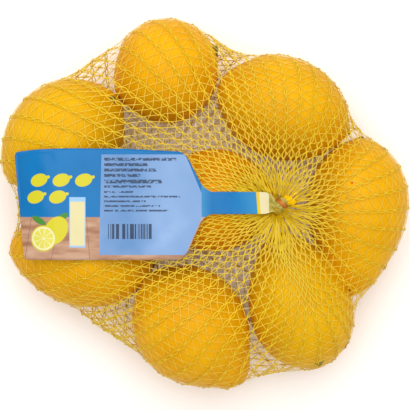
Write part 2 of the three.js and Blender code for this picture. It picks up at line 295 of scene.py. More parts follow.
def band_faces(rings, around, first=0):
    """Faces of the bands between rings of points, which are numbered from first."""
    faces = []
    for ring in range(rings - 1):
        for step in range(around):
            a = first + ring * around + step
            b = first + ring * around + (step + 1) % around
            faces.append((a, b, b + around, a + around))
    return faces


for number, lemon in enumerate(LEMONS):
    lemon["name"] = f"lemon_{number + 1}"
    lay_down(lemon)
    draw = np.random.default_rng(100 + number)
    first, second = side_axes(lemon["axis"])
    polar = np.linspace(0, math.pi, PEEL_ALONG + 1)[1:-1, None, None]
    around = (np.arange(PEEL_AROUND) * 2 * math.pi / PEEL_AROUND)[None, :, None]
    spokes = np.cos(around) * first + np.sin(around) * second
    heading = np.cos(polar) * lemon["axis"] + np.sin(polar) * spokes
    poles = np.array([lemon["axis"], -lemon["axis"]])
    heading = np.concatenate([heading.reshape(-1, 3), poles])
    c = np.clip(heading @ lemon["axis"], -1, 1)
    reach = skin_reach(lemon, c) - SKIN_INSET
    reach += soft_lumps(heading * LUMP_BALL, draw, **LUMPS)
    folds = np.exp((-c - 1) / STEM_FOLDS_SPREAD)
    folds += NIPPLE_FOLDS_SHARE * np.exp((c - 1) / NIPPLE_FOLDS_SPREAD)
    reach += folds * soft_lumps(heading * LUMP_BALL, draw, **END_FOLDS)
    points = lemon["middle"] + heading * reach[:, None]
    points[:, 2] = np.maximum(points[:, 2], SKIN_FLOOR)
    rings = PEEL_ALONG - 1
    # The rings run down from the blossom end, so the bands are turned over to face out.
    faces = [(a, d, c, b) for a, b, c, d in band_faces(rings, PEEL_AROUND)]
    last = (rings - 1) * PEEL_AROUND
    for step in range(PEEL_AROUND):
        after = (step + 1) % PEEL_AROUND
        faces.append((step, after, rings * PEEL_AROUND))
        faces.append((last + after, last + step, rings * PEEL_AROUND + 1))
    body = make_piece(lemon["name"], points, faces, peel_material(lemon))
    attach(body, "root")
    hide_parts("net_bag")


# ---- The stem buttons -------------------------------------------------------------------------
# The dry green-brown calyx that stays on a lemon where it was cut from its twig: a small lobed
# star, grown to the peel at the stem end, with the woody scar of the twig in its middle.
BUTTON_RADIUS = 3.3
BUTTON_LEAST = 0.9
BUTTON_VARIETY = 0.25
BUTTON_AROUND = 30
# Where a star isn't at the very end of the long axis: how many degrees above it is.
SEAT_RISE = {"lemon_1": 14, "lemon_5": 24}
SEAT_DEPTH = 0.35
LOBES = 5
LOBE_DEPTH = 0.16
RAGGED_EDGE = 0.05
LOBE_DROOP = 0.8
# The star's section from its hidden root over its face to the scar: share of radius, height.
BUTTON_RINGS = [
    (1.0, -0.5), (1.0, 0.1), (0.82, 0.55), (0.58, 0.5), (0.44, 0.75), (0.36, 1.3), (0.2, 1.35), (0.12, 1.0),
]
SCAR_HEIGHT = 0.9
ROOT_DEPTH = 1.2
CALYX_TONES = [(70, 74, 22), (122, 116, 40), (92, 62, 30)]

calyx, tree, shader = new_material("dry calyx", 0.75)
tint = mottled(tree, 420, 4, CALYX_TONES, (0.35, 0.6, 0.75))
tree.links.new(tint, shader.inputs["Base Color"])
add_bump(tree, shader, noise(tree, 1500, 3), 0.0004, 0.8)

for number, lemon in enumerate(LEMONS):
    draw = np.random.default_rng(200 + number)
    rise = math.radians(SEAT_RISE.get(lemon["name"], 0))
    out = -lemon["axis"] * math.cos(rise) + np.array([0, 0, math.sin(rise)])
    out = out / np.linalg.norm(out)
    first, second = side_axes(out)
    seat = lemon["middle"] + out * (skin_reach(lemon, out @ lemon["axis"]) - SEAT_DEPTH)
    size = BUTTON_RADIUS * (BUTTON_LEAST + BUTTON_VARIETY * draw.random())
    around = np.arange(BUTTON_AROUND) * 2 * math.pi / BUTTON_AROUND
    lobes = 1 + LOBE_DEPTH * np.cos(LOBES * around + draw.random() * 6)
    lobes = lobes + RAGGED_EDGE * draw.normal(size=BUTTON_AROUND)
    points = []
    for share, height in BUTTON_RINGS:
        shape = size * share * (1 + (lobes - 1) * share)
        droop = LOBE_DROOP * (share * size / BUTTON_RADIUS) ** 2
        ring = seat + out * (height - droop) + (shape * np.cos(around))[:, None] * first
        points.append(ring + (shape * np.sin(around))[:, None] * second)
    points = np.concatenate([*points, [seat + out * SCAR_HEIGHT, seat - out * ROOT_DEPTH]])
    faces = band_faces(len(BUTTON_RINGS), BUTTON_AROUND)
    last = (len(BUTTON_RINGS) - 1) * BUTTON_AROUND
    for step in range(BUTTON_AROUND):
        after = (step + 1) % BUTTON_AROUND
        faces.append((last + step, last + after, len(points) - 2))
        faces.append((after, step, len(points) - 1))
    button = make_piece(lemon["name"] + "_stem_button", points, faces, calyx)
    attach(button, "root")
    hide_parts("net_bag")


# ---- The net's form ---------------------------------------------------------------------------
# One knitted tube of plastic net, gathered at both ends. It is drawn tight over the fruit by the
# pull of its own threads: every knot goes to where its four threads balance, outside the fruit.
CHAINS = 62
ROWS = 44
# Each round moves every knot by GAIN of the way to its balance, and on by MOMENTUM of its last
# move. A thread pulls evenly, and like a spring, and harder once it is longer than its limit.
ROUNDS = 1800
GAIN = 0.7
MOMENTUM = 0.85
KNOT_DECIMALS = 4
ALONG_CHAIN = dict(pull=0.413, spring=0.13, limit=6.5, hardness=2.17)
ACROSS_CHAINS = dict(pull=1.43, spring=0.139, limit=10.84, hardness=0.742)
SHORTEST_THREAD = 0.5
THREAD_STAND_OFF = 0.55
THREAD_FLOOR = 0.25
# Before it is pulled the net goes from each neck out to one wide rim, and hangs high over it.
START_RADIUS = 160.0
START_HEIGHT = 95.0
START_SPREAD = 2.4
RIM_RADIUS = 108.0
# Where the net spans an outer hollow, its stiffness keeps its fold out, round a slim spindle.
FOLDS = [
    dict(x=-59, y=77, z=25, turn=33.6, length=84, width=16),
    dict(x=0.7, y=91.6, z=27, turn=-37, length=40, width=12),
    dict(x=38.9, y=-92.7, z=22, turn=10.9, length=70, width=12),
    dict(x=-53.5, y=-66.8, z=25, turn=-34.6, length=90, width=16),
]
# A neck runs from its foot through its knee to the end of its tuft.
NECK_RADIUS = 2.6
NECK_PROFILE = [(0, 4), (0.12, 3.2), (0.25, NECK_RADIUS), (0.85, NECK_RADIUS), (0.94, 3.6), (1, 4.2)]
# Past its clip, which is CLIP_SHARE of the way, the tuft flops over to one side.
CLIP_SHARE = 0.69
TOP_NECK = dict(
    out=1.0, foot=(41.4, -2.6, 48.2), knee=(38.8, -4.6, 58.4), tip=(47.6, 4.6, 54.6), flop=(0.9, -2.6, 1.9),
)
BASE_NECK = dict(
    out=-1.0, foot=(*BASE_CLIP_AT, 11.3), knee=(*BASE_CLIP_AT, 6), tip=(*BASE_CLIP_AT, 0.4), flop=(0, 0, 0),
)

for fold in FOLDS:
    fold.update(rise=0, nipple=0, button=0, taper=0)
    fold["axis"] = long_axis(fold)
    fold["middle"] = np.array([fold["x"], fold["y"], fold["z"]], float)


def push_out(points, forms, stand_off):
    """Moves points that are inside a form straight out through its skin."""
    for form in forms:
        offset = points - form["middle"]
        distance = np.sqrt((offset * offset).sum(-1))
        near = np.flatnonzero(distance < form["length"] / 2 + form["nipple"] + stand_off)
        heading = offset[near] / distance[near, None]
        c = np.clip(heading @ form["axis"], -1, 1)
        short = skin_reach(form, c) + stand_off - distance[near]
        inside = short > 0
        near, heading, c, short = near[inside], heading[inside], c[inside], short[inside]
        step = 0.001
        slope = (skin_reach(form, np.minimum(c + step, 1)) - skin_reach(form, c - step)) / (2 * step)
        way = heading - (slope / distance[near])[:, None] * (form["axis"] - c[:, None] * heading)
        points[near] += way * (short / (way * way).sum(1))[:, None]
    return points


def neck_frame(neck, share):
    """The middle of a neck share of the way from its foot to its tip, and how it is turned."""
    foot, knee, tip = (np.array(neck[part], float) for part in ("foot", "knee", "tip"))
    centre = (1 - share) ** 2 * foot + 2 * share * (1 - share) * knee + share**2 * tip
    axis = 2 * (1 - share) * (knee - foot) + 2 * share * (tip - knee)
    axis = axis / np.linalg.norm(axis)
    up = np.array([0, 0, neck["out"]])
    hinge = np.cross(up, axis)
    cross = np.array([[0, -hinge[2], hinge[1]], [hinge[2], 0, -hinge[0]], [-hinge[1], hinge[0], 0]])
    return centre, axis, np.eye(3) + cross + cross @ cross / (1 + up @ axis)


def neck_ring(neck, share, radii, angles):
    """Points round a neck."""
    centre, _, lean = neck_frame(neck, share)
    spokes = np.stack([np.cos(angles), np.sin(angles), 0 * angles], -1) @ lean.T
    return centre + spokes * np.reshape(radii, (-1, 1))


def fan_angles(neck):
    """Which way each chain leaves a neck: straight to its own place on the bag's even rim."""
    angles = 2 * math.pi * np.arange(CHAINS) / CHAINS
    foot = neck["foot"]
    return np.arctan2(RIM_RADIUS * np.sin(angles) - foot[1], RIM_RADIUS * np.cos(angles) - foot[0])


def slack_net():
    """The net before it is pulled, as knots by chain and by row from the top neck down."""
    angles = 2 * math.pi * np.arange(CHAINS) / CHAINS
    rim = START_RADIUS * np.stack([np.cos(angles), np.sin(angles), 0 * angles], 1)
    top, base = (neck_ring(neck, 0, NECK_PROFILE[0][1], fan_angles(neck)) for neck in (TOP_NECK, BASE_NECK))
    knots = np.zeros((CHAINS, ROWS + 1, 3))
    for row in range(ROWS + 1):
        way = row / ROWS
        on_top = way < 0.5
        outwards = min(1, START_SPREAD * (way if on_top else 1 - way))
        knots[:, row] = (top if on_top else base) * (1 - outwards) + rim * outwards
        if 0 < row < ROWS:
            knots[:, row, 2] = START_HEIGHT * (1 - way) * (1 if on_top else 0.5)
    return knots


def pull_tight(knots):
    """Lets all knots but those at the necks move, round by round, to where their threads balance."""
    forms = LEMONS + FOLDS
    moves = np.zeros((CHAINS, ROWS - 1, 3))
    for _ in range(ROUNDS):
        here = knots[:, 1:-1]
        threads = [
            (knots[:, :-2], ALONG_CHAIN),
            (knots[:, 2:], ALONG_CHAIN),
            (np.roll(knots, 1, 0)[:, 1:-1], ACROSS_CHAINS),
            (np.roll(knots, -1, 0)[:, 1:-1], ACROSS_CHAINS),
        ]
        pulls = 0
        weights = 0
        for far_end, thread in threads:
            offset = far_end - here
            length = np.maximum(np.sqrt((offset * offset).sum(-1)), SHORTEST_THREAD)
            tight = np.maximum(0, 1 - thread["limit"] / length)
            weight = thread["pull"] / length + thread["spring"] + thread["hardness"] * tight
            pulls = pulls + weight[..., None] * far_end
            weights = weights + weight
        moved = here + MOMENTUM * moves + GAIN * (pulls / weights[..., None] - here)
        moved = push_out(moved.reshape(-1, 3), forms, THREAD_STAND_OFF).reshape(here.shape)
        moved[..., 2] = np.maximum(moved[..., 2], THREAD_FLOOR)
        # Rounded, as tiny differences between computers would otherwise grow from round to round.
        moved = np.round(moved, KNOT_DECIMALS)
        moves = moved - here
        knots[:, 1:-1] = moved
    return knots


def clear_fruit(knots):
    """Moves the knots between the necks out of the lemons."""
    inner = push_out(knots[:, 1:-1].reshape(-1, 3).copy(), LEMONS, THREAD_STAND_OFF)
    knots[:, 1:-1] = inner.reshape(CHAINS, ROWS - 1, 3)
    return knots


def even_stitches(knots):
    """Slides the knots along their chains, as all stitches of a chain are knitted equally long."""
    for chain in range(CHAINS):
        lengths = np.linalg.norm(np.diff(knots[chain], axis=0), axis=1)
        places = np.concatenate([[0], np.cumsum(lengths)])
        even = np.linspace(0, places[-1], ROWS + 1)
        knots[chain] = np.stack([np.interp(even, places, knots[chain][:, k]) for k in range(3)], 1)
    return knots


knots = clear_fruit(even_stitches(pull_tight(slack_net())))


# ---- The net's chains -------------------------------------------------------------------------
# Each lengthwise chain of the knit is a pair of glossy yellow tapes that cross at every knot and
# stand apart between knots, as small open lozenges. All chains run on through both necks.
STRAND_RADIUS = 0.29
STRAND_SIDES = 4
TAPE_FLATNESS = 0.5
STEPS_IN_STITCH = 4
# A lozenge keeps within its share of the room between chains, and of its stitch's length. Near
# a neck, over CLOSED_ROWS, it closes to CLOSED_SHARE of its width.
LOZENGE_HALF_WIDTH = 0.85
LOZENGE_VARIETY = 0.5
LOZENGE_IN_ROOM = 0.28
LOZENGE_LEAST = 0.12
LOZENGE_IN_STITCH = 0.2
CLOSED_ROWS = 4.3
CLOSED_SHARE = 0.3
# Each knot stands off the fruit, less so in the first rows past the top neck.
KNOT_LIFT = 0.6
LOW_KNOT_ROWS = 16
LOW_KNOT_SHARE = 0.2
CROSSING_LIFT = 0.12
STRAND_BEDDING = 0.15
STRAND_STRAY = 0.15
# How much wider a tape is at its knots, and where it is gathered, slack, or in the tuft.
KNOT_WIDTH = 0.35
GATHERED_WIDTH = 0.45
GATHERED_ROWS = 4.5
SLACK_WIDTH = 0.5
TUFT_WIDTH = 1.5
# In a neck each chain keeps its own share of the way out from the middle, the square of which is
# drawn from INNERMOST up to 1. Each is cut off at its own share of the way to the tuft's tip.
NECK_STEPS = 12
NECK_CLOSING = 3
NECK_SQUEEZE = 0.88
NECK_TWIST = 0.9
INNERMOST = 0.06
TUFT_SHARE = (0.95, 1.0)
FLOP_CURVE = 1.5


def unit(vectors):
    """The same directions, each one long."""
    return vectors / np.maximum(np.linalg.norm(vectors, axis=-1, keepdims=True), 1e-9)


def surface_normals(points):
    """Outward directions on the tight net, and directions along the chains."""
    along = unit(np.gradient(points, axis=1))
    across = np.roll(points, -1, 0) - np.roll(points, 1, 0)
    return unit(np.cross(along, across)), along


def tube_faces(first, count, sides):
    """Faces of one tube of rings, numbered from first, with both ends closed."""
    faces = band_faces(count, sides, first)
    faces.append(tuple(first + side for side in reversed(range(sides))))
    faces.append(tuple(first + (count - 1) * sides + side for side in range(sides)))
    return faces


def tape_rings(path, radii, normals):
    """Rings of points round a path, pressed flat along the normals."""
    along = unit(np.gradient(path, axis=0))
    side = unit(np.cross(along, normals))
    upright = np.cross(side, along)
    angles = (np.arange(STRAND_SIDES) + 0.5) * 2 * math.pi / STRAND_SIDES
    spokes = np.cos(angles)[None, :, None] * upright[:, None] * TAPE_FLATNESS
    spokes = spokes + np.sin(angles)[None, :, None] * side[:, None]
    return (path[:, None] + spokes * np.reshape(radii, (-1, 1, 1))).reshape(-1, 3)


def add_tape(points, faces, path, radii, normals):
    """Adds one tape to the points and faces of a piece."""
    first = sum(len(tape) for tape in points)
    points.append(tape_rings(path, radii, normals))
    faces += tube_faces(first, len(path), STRAND_SIDES)


def between(values, row, part):
    """Values part of the way from each row to the next."""
    part = np.reshape(part, (-1,) + (1,) * (values.ndim - 1))
    return values[row] * (1 - part) + values[row + 1] * part


def interpolate(value, steps):
    """The height at a value, from a list of (place, height)."""
    places, heights = zip(*steps)
    return np.interp(value, places, heights)


def neck_path(neck, angle, fill, reach_share):
    """One thread's way through a neck, from just past the foot to its own cut end in the tuft."""
    path = []
    for step in range(1, NECK_STEPS + 1):
        share = reach_share * step / NECK_STEPS
        inward = min(1, NECK_CLOSING * share)
        past_clip = max(0, share - CLIP_SHARE) / (1 - CLIP_SHARE)
        radius = interpolate(share, NECK_PROFILE) * (1 - inward * (1 - NECK_SQUEEZE * fill))
        turn = np.array([angle + NECK_TWIST * inward * (1 - fill)])
        point = neck_ring(neck, share, [radius], turn)[0]
        path.append(point + np.array(neck["flop"]) * past_clip**FLOP_CURVE)
    return np.array(path)


# Near the top neck's foot the net is painted darker, as painted shade on the gathered threads there. It has
# the darker tones up to the first of two distances from the foot, and the paler open tones past the second.
# The end of the tuft is painted a brighter, more saturated yellow, as painted light, likewise by the distance
# from its tip.
PAINTED_SHADE_FADE = (24, 70)
OPEN_TAPE = [(214, 179, 18), (231, 198, 34)]
SHADED_GATHERED_TAPE = [(205, 170, 16), (226, 191, 28)]
TUFT_PAINTED_LIGHT = (246, 202, 4)
TUFT_PAINTED_LIGHT_FADE = (5.5, 7)


def net_tone(tree, scale, open_tones, shaded_tones):
    """The yellow of one kind of thread, with painted shade that darkens it near the top neck."""
    open_net = mottled(tree, scale, 3, open_tones)
    shaded_net = mottled(tree, scale, 3, shaded_tones)
    away = distance_share(tree, TOP_NECK["foot"], *PAINTED_SHADE_FADE)
    return blend_colours(tree, away, shaded_net, open_net)


strand, tree, shader = new_material("net tape", 0.32)
# The tape is painted darker near the top neck, as painted shade.
tint = net_tone(tree, 240, OPEN_TAPE, SHADED_GATHERED_TAPE)
# The tuft's end is painted a brighter, more saturated yellow, as painted light in the dense bundle of cut
# ends.
off_tuft_light = distance_share(tree, np.array(TOP_NECK["tip"]) + TOP_NECK["flop"], *TUFT_PAINTED_LIGHT_FADE)
tint = blend_colours(tree, off_tuft_light, linear(*TUFT_PAINTED_LIGHT), tint)
tree.links.new(tint, shader.inputs["Base Color"])
add_bump(tree, shader, noise(tree, 2600, 2), 0.0002, 0.4)
shader.inputs["Specular IOR Level"].default_value = 0.2

# Round the top neck the surplus net lies in pleats. On the south side chains are drawn together
# in a thick bundle, which runs down from the neck and turns out along the lemon there. Its lists
# tell, by distance from the neck, which way it runs and how strongly it draws chains in.
PLEATS = 10
PLEAT_WANDER = 1.2
PLEAT_HEIGHT = 1.3
PLEATS_AT = 14
PLEATS_SPREAD = 10
BUNDLE_TURNS = [(8, math.radians(-94)), (20, math.radians(-88)), (42, math.radians(-72))]
BUNDLE_REACH = [(0, 1), (52, 1), (84, 0)]
BUNDLE_SPREAD = math.radians(34)
BUNDLE_DRAW = 0.68
BUNDLE_HEIGHT = 2.2
BUNDLE_HEIGHT_SPREAD = 20
# A knot stays where it is if the net beside it is this much higher or lower.
STEEPEST_MOVE = 14
OVER_THE_BAG = 100


def pleat(knots):
    """Lays the net in radial pleats near the top neck, and draws chains together in one bundle."""
    faces = []
    for chain in range(CHAINS):
        for row in range(ROWS):
            a = chain * (ROWS + 1) + row
            b = (chain + 1) % CHAINS * (ROWS + 1) + row
            faces.append((a, a + 1, b + 1, b))
    tight_net = BVHTree.FromPolygons([Vector(point) for point in knots.reshape(-1, 3)], faces)
    foot = np.array(TOP_NECK["foot"], float)
    pleated = knots.copy()
    for chain in range(CHAINS):
        for row in range(1, ROWS // 2):
            x, y, z = knots[chain, row]
            radius = math.hypot(x - foot[0], y - foot[1])
            turn = math.atan2(y - foot[1], x - foot[0])
            off_line = (turn - interpolate(radius, BUNDLE_TURNS) + math.pi) % (2 * math.pi) - math.pi
            drawn = math.exp(-((off_line / BUNDLE_SPREAD) ** 2)) * interpolate(radius, BUNDLE_REACH)
            turn -= off_line * BUNDLE_DRAW * drawn
            x, y = foot[0] + radius * math.cos(turn), foot[1] + radius * math.sin(turn)
            hit = tight_net.ray_cast(Vector((x, y, OVER_THE_BAG)), Vector((0, 0, -1)))[0]
            if hit is None or abs(hit.z - z) > STEEPEST_MOVE:
                continue
            fold = math.sin(PLEATS * turn + PLEAT_WANDER * math.sin(2 * turn + 0.5))
            rise = PLEAT_HEIGHT * fold * math.exp(-(((radius - PLEATS_AT) / PLEATS_SPREAD) ** 2))
            rise += BUNDLE_HEIGHT * drawn * math.exp(-((radius / BUNDLE_HEIGHT_SPREAD) ** 2))
            pleated[chain, row] = (x, y, hit.z + rise)
    return pleated


# Chains slip along, stray aside and climb over each other. Where there are two amounts, the
# first is for the crowd at a neck and the second for everywhere.
CROWDED_ROWS = 3.4
SLIP = (2.2, 0.3)
STRAY = (0.32, 0.1)
CLIMB = 0.7
DEEPEST_CLIMB = -0.4


def disturb(knots, draw):
    """Near a neck the gathered chains crowd, climb over each other and slip out of step."""
    normals, along = surface_normals(knots)
    sideways = np.cross(along, normals)
    rows = np.arange(ROWS + 1)
    from_neck = np.minimum(rows, ROWS - rows)
    crowd = np.where(from_neck > 0, np.exp(-(from_neck - 1) / CROWDED_ROWS), 0)
    slip = draw.uniform(-1, 1, (CHAINS, 1)) * SLIP[0] * crowd
    slip = slip + draw.normal(size=knots.shape[:2]) * SLIP[1]
    stray = draw.normal(size=knots.shape[:2]) * (STRAY[0] * crowd + STRAY[1])
    lift = draw.uniform(DEEPEST_CLIMB, 1, knots.shape[:2]) * CLIMB * crowd
    for moves in (slip, stray, lift):
        moves[:, [0, -1]] = 0
    return knots + along * slip[..., None] + sideways * stray[..., None] + normals * lift[..., None]


# Where the net folds round low between two outer lemons it is slack, and its threads are wider:
# from SLACK_GAP off the fruit on, about SLACK_HEIGHT, and outside SLACK_INSIDE from the middle.
SLACK_GAP = 1.5
SLACK_GAP_FADE = 4
SLACK_HEIGHT = 25
SLACK_SPREAD = 15
SLACK_INSIDE = 60


def slackness(points):
    """1 where the net is at its slackest, 0 where it is tight."""
    gaps = []
    for form in LEMONS:
        offset = points - form["middle"]
        distance = np.linalg.norm(offset, axis=-1)
        gaps.append(distance - skin_reach(form, np.clip(offset @ form["axis"] / distance, -1, 1)))
    off_fruit = np.clip((np.min(gaps, axis=0) - SLACK_GAP) / SLACK_GAP_FADE, 0, 1)
    low = np.exp(-(((points[..., 2] - SLACK_HEIGHT) / SLACK_SPREAD) ** 2))
    return off_fruit * low * (np.hypot(points[..., 0], points[..., 1]) > SLACK_INSIDE)


draw = np.random.default_rng(7)
knots = pleat(knots)
knit = clear_fruit(disturb(knots, draw))
knit[..., 2] = np.maximum(knit[..., 2], THREAD_FLOOR)
normals, along = surface_normals(knots)
stitches = np.linalg.norm(np.diff(knit, axis=1), axis=-1)
spacing = np.linalg.norm(np.roll(knots, -1, 0) - knots, axis=-1)
spacing = np.minimum(spacing, np.roll(spacing, 1, 0))
slack = slackness(knit)
top_turns, base_turns = fan_angles(TOP_NECK), fan_angles(BASE_NECK)

# Places along a chain, counted in rows: the row before each, and the part of the way to the next.
rows = np.arange(ROWS * STEPS_IN_STITCH + 1) / STEPS_IN_STITCH
row = np.minimum(rows.astype(int), ROWS - 1)
part = rows - row
from_neck = np.minimum(rows, ROWS - rows)
gathered = np.exp(-((from_neck / GATHERED_ROWS) ** 2))
swing, beat = np.sin(math.pi * rows), np.cos(math.pi * rows)
knot_lift = KNOT_LIFT * np.clip(rows / LOW_KNOT_ROWS, LOW_KNOT_SHARE, 1)

# The chains are two pieces, with half of them in each.
chain_groups = [(0, CHAINS // 2), (CHAINS // 2, CHAINS)]
for group, (low, high) in enumerate(chain_groups):
    points = []
    faces = []
    for chain in range(low, high):
        middle = between(knit[chain], row, part)
        upright = between(normals[chain], row, part)
        sideways = unit(np.cross(np.gradient(middle, axis=0), upright))
        room = between(spacing[chain], row, part)
        uneven = 1 - LOZENGE_VARIETY / 2 + LOZENGE_VARIETY * draw.random(ROWS)
        width = np.minimum(LOZENGE_HALF_WIDTH * uneven[row], LOZENGE_IN_ROOM * room + LOZENGE_LEAST)
        width = np.minimum(width, LOZENGE_IN_STITCH * stitches[chain, row])
        width *= np.clip(from_neck / CLOSED_ROWS, CLOSED_SHARE, 1)
        fill = math.sqrt(INNERMOST + (1 - INNERMOST) * draw.random())
        cut_top, cut_base = draw.uniform(*TUFT_SHARE, 2)
        top = neck_path(TOP_NECK, top_turns[chain], fill, cut_top)[::-1]
        base = neck_path(BASE_NECK, base_turns[chain], fill, cut_base)
        turn = np.pad(upright, ((NECK_STEPS, NECK_STEPS), (0, 0)), "edge")
        wide = between(slack[chain], row, part)
        swell = KNOT_WIDTH * beat**8 + GATHERED_WIDTH * gathered + SLACK_WIDTH * wide
        thick = np.full(len(turn), STRAND_RADIUS)
        thick[NECK_STEPS:-NECK_STEPS] *= 1 + swell
        thick[: NECK_STEPS // 2] *= 1 + TUFT_WIDTH
        for strand_side in (-1, 1):
            wave = swing * strand_side * width
            lift = beat * strand_side * CROSSING_LIFT + knot_lift * beat**4
            path = middle + sideways * wave[:, None] + upright * lift[:, None]
            path[1:-1] = push_out(path[1:-1].copy(), LEMONS, THREAD_STAND_OFF - STRAND_BEDDING)
            nudge = draw.normal(size=3) * STRAND_STRAY
            path = np.concatenate([top + nudge, path, base + nudge * [1, 1, 0]])
            path[:, 2] = np.maximum(path[:, 2], THREAD_FLOOR)
            add_tape(points, faces, path, thick, turn)
    piece = make_piece(f"net_chains_{group + 1}", np.concatenate(points), faces, strand, smooth=False)
    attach(piece, "root")
    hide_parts("net_bag")


# ---- The net's cross threads ------------------------------------------------------------------
# Thin pale threads are laid in between neighbouring chains. Two zigzag up each gap in opposite
# step, so that they cross in the middle of every mesh, and each is caught in the chains' knots.
# Where the net is gathered they are pulled straight and run into the neck beside the chains.
CROSS_RADIUS = 0.2
STEPS_IN_CROSSING = 3
STRAIGHT_ROWS = 5.5
LEAST_ZIGZAG = 0.15
SLACK_CROSS_WIDTH = 1.6
CROSS_STAND_OFF = 0.3
CROSS_FLOOR = 0.2
# How far a thread strays: aside where it runs straight, along the chains at each knot, and into
# or out of the net near a neck.
SIDE_STRAY = 0.35
KNOT_STRAY = 0.4
NECK_DEPTH = (-1.2, 0.6)
# Between knots a thread bows along the net, and the two of one gap bulge apart.
CROSS_BOW = 0.35
CROSS_BULGE = 0.22
OPEN_THREAD = [(219, 187, 54), (234, 203, 76)]
# The darker tones are painted shade, for the cross threads near the top neck.
SHADED_GATHERED_THREAD = [(206, 173, 40), (226, 193, 58)]

cross_thread, tree, shader = new_material("net cross thread", 0.35)
tint = net_tone(tree, 300, OPEN_THREAD, SHADED_GATHERED_THREAD)
tree.links.new(tint, shader.inputs["Base Color"])
add_bump(tree, shader, noise(tree, 2600, 2), 0.0002, 0.3)
shader.inputs["Specular IOR Level"].default_value = 0.2

held = np.arange(1, ROWS)
grip = np.clip(np.minimum(held, ROWS - held) / STRAIGHT_ROWS, LEAST_ZIGZAG, 1)
rows = np.arange((len(held) - 1) * STEPS_IN_CROSSING + 1) / STEPS_IN_CROSSING
row = np.minimum(rows.astype(int), len(held) - 2)
part = rows - row
arch = np.sin(math.pi * part)
gathered = np.exp(-((np.minimum(rows + 1, ROWS - 1 - rows) / GATHERED_ROWS) ** 2))

for group, (low, high) in enumerate(chain_groups):
    points = []
    faces = []
    for chain in range(low, high):
        other = (chain + 1) % CHAINS
        for start in (0, 1):
            stray = draw.uniform(-SIDE_STRAY, SIDE_STRAY)
            toward = (0.5 + ((held + start) % 2 - 0.5) * grip + stray * (1 - grip))[:, None]
            caught = knit[chain, held] * (1 - toward) + knit[other, held] * toward
            caught = caught + along[chain, held] * draw.normal(size=(len(held), 1)) * KNOT_STRAY
            caught = caught + normals[chain, held] * ((1 - grip) * draw.uniform(*NECK_DEPTH))[:, None]
            path = between(caught, row, part)
            turn = unit(between(normals[chain, held], row, part))
            bow = (draw.normal(size=ROWS) * CROSS_BOW)[row] * arch
            path = path + along[chain, held[row]] * bow[:, None]
            path = path + turn * (CROSS_BULGE * (2 * start - 1) * arch)[:, None]
            path = push_out(path, LEMONS, CROSS_STAND_OFF * (1 + start))
            path[:, 2] = np.maximum(path[:, 2], CROSS_FLOOR)
            wide = slack[chain, held[row]]
            thick = CROSS_RADIUS * (1 + GATHERED_WIDTH * gathered + SLACK_CROSS_WIDTH * wide)
            add_tape(points, faces, path, thick, turn)
    name = f"net_cross_threads_{group + 1}"
    piece = make_piece(name, np.concatenate(points), faces, cross_thread, smooth=False)
    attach(piece, "root")
    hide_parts("net_bag")


# ---- The clips --------------------------------------------------------------------------------
# Each end of the net is closed by a short strip of copper-coloured wire, bent round the gathered
# threads and crimped tight. Its ends are lapped, and the outer end stands off a little.
CLIP_RADIUS = 3.1
CLIP_START = math.radians(150)
CLIP_TURN = math.radians(410)
CLIP_STEPS = 72
# The strip's section, as (across, out).
CLIP_PROFILE = [
    (-1.05, -0.25), (-0.9, -0.36), (0.9, -0.36), (1.05, -0.25),
    (1.05, 0.25), (0.9, 0.36), (-0.9, 0.36), (-1.05, 0.25),
]
# The lapped end climbs over the other, springs off, slants and narrows.
LAP_SHARE = math.radians(50) / CLIP_TURN
LAP_CLIMB = 0.78
LAP_STEEPNESS = 2.5
END_SPRING = 0.5
END_SLANT = 0.5
END_NARROWING = 0.3
COPPER_TONES = [(164, 84, 20), (204, 116, 32)]

copper, tree, shader = new_material("coppered clip", 0.36)
tint = mottled(tree, 700, 3, COPPER_TONES, (0.35, 0.65))
tree.links.new(tint, shader.inputs["Base Color"])
shader.inputs["Metallic"].default_value = 0.35
add_bump(tree, shader, noise(tree, 1400, 3), 0.0002, 0.5)

for name, neck in (("top_clip", TOP_NECK), ("base_clip", BASE_NECK)):
    centre, axis, lean = neck_frame(neck, CLIP_SHARE)
    rings = []
    for step in range(CLIP_STEPS + 1):
        share = step / CLIP_STEPS
        angle = CLIP_START - CLIP_TURN * share
        spoke = lean @ np.array([math.cos(angle), math.sin(angle), 0])
        lap = max(0, share - (1 - LAP_SHARE)) / LAP_SHARE
        radius = CLIP_RADIUS + LAP_CLIMB * min(1, LAP_STEEPNESS * lap) + END_SPRING * lap**3
        narrow = 1 - END_NARROWING * lap**2
        for wide, thick in CLIP_PROFILE:
            rings.append(centre + spoke * (radius + thick) + axis * (wide * narrow + END_SLANT * lap))
    faces = tube_faces(0, CLIP_STEPS + 1, len(CLIP_PROFILE))
    clip = make_piece(name + "_wire", rings, faces, copper)
    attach(clip, "root")
    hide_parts(name)


# ---- The label --------------------------------------------------------------------------------
# A glossy printed film label with card in it: blue above, a wooden board below, and a pale data
# panel. It hangs from the clip by a narrow neck and lies over the fruit, bending one way only.

# The outline from the free end to the neck's end, as (x, low edge, high edge).
LABEL_OUTLINE = [
    (-106, -31.5, 29.0), (-92, -31.5, 30.2), (-75, -31.5, 30.7), (-45, -31.4, 30.5), (-14, -31.2, 28.9),
    (-10.2, -28.5, 26.5), (-1.4, -8.6, 9.4), (3, -5.9, 6.5), (34, -5.9, 6.4), (37.6, -4.6, 5.2),
]
LABEL_END_SLANT = (-101.5, -106.8)
LABEL_STEPS = 150
LABEL_LANES = 36
LABEL_CROWDING = 1.1
LABEL_THICKNESS = 0.4
CORNER = 2.2
EDGE_EASE = 1.2

BLUES = [(0, 106, 168), (6, 116, 180)]
WOODS = [(0.3, linear(156, 108, 80)), (0.52, linear(186, 144, 116)), (0.8, linear(206, 172, 146))]
JOINT_BROWN = linear(142, 100, 78)
PANEL_BLUE = linear(97, 138, 188)
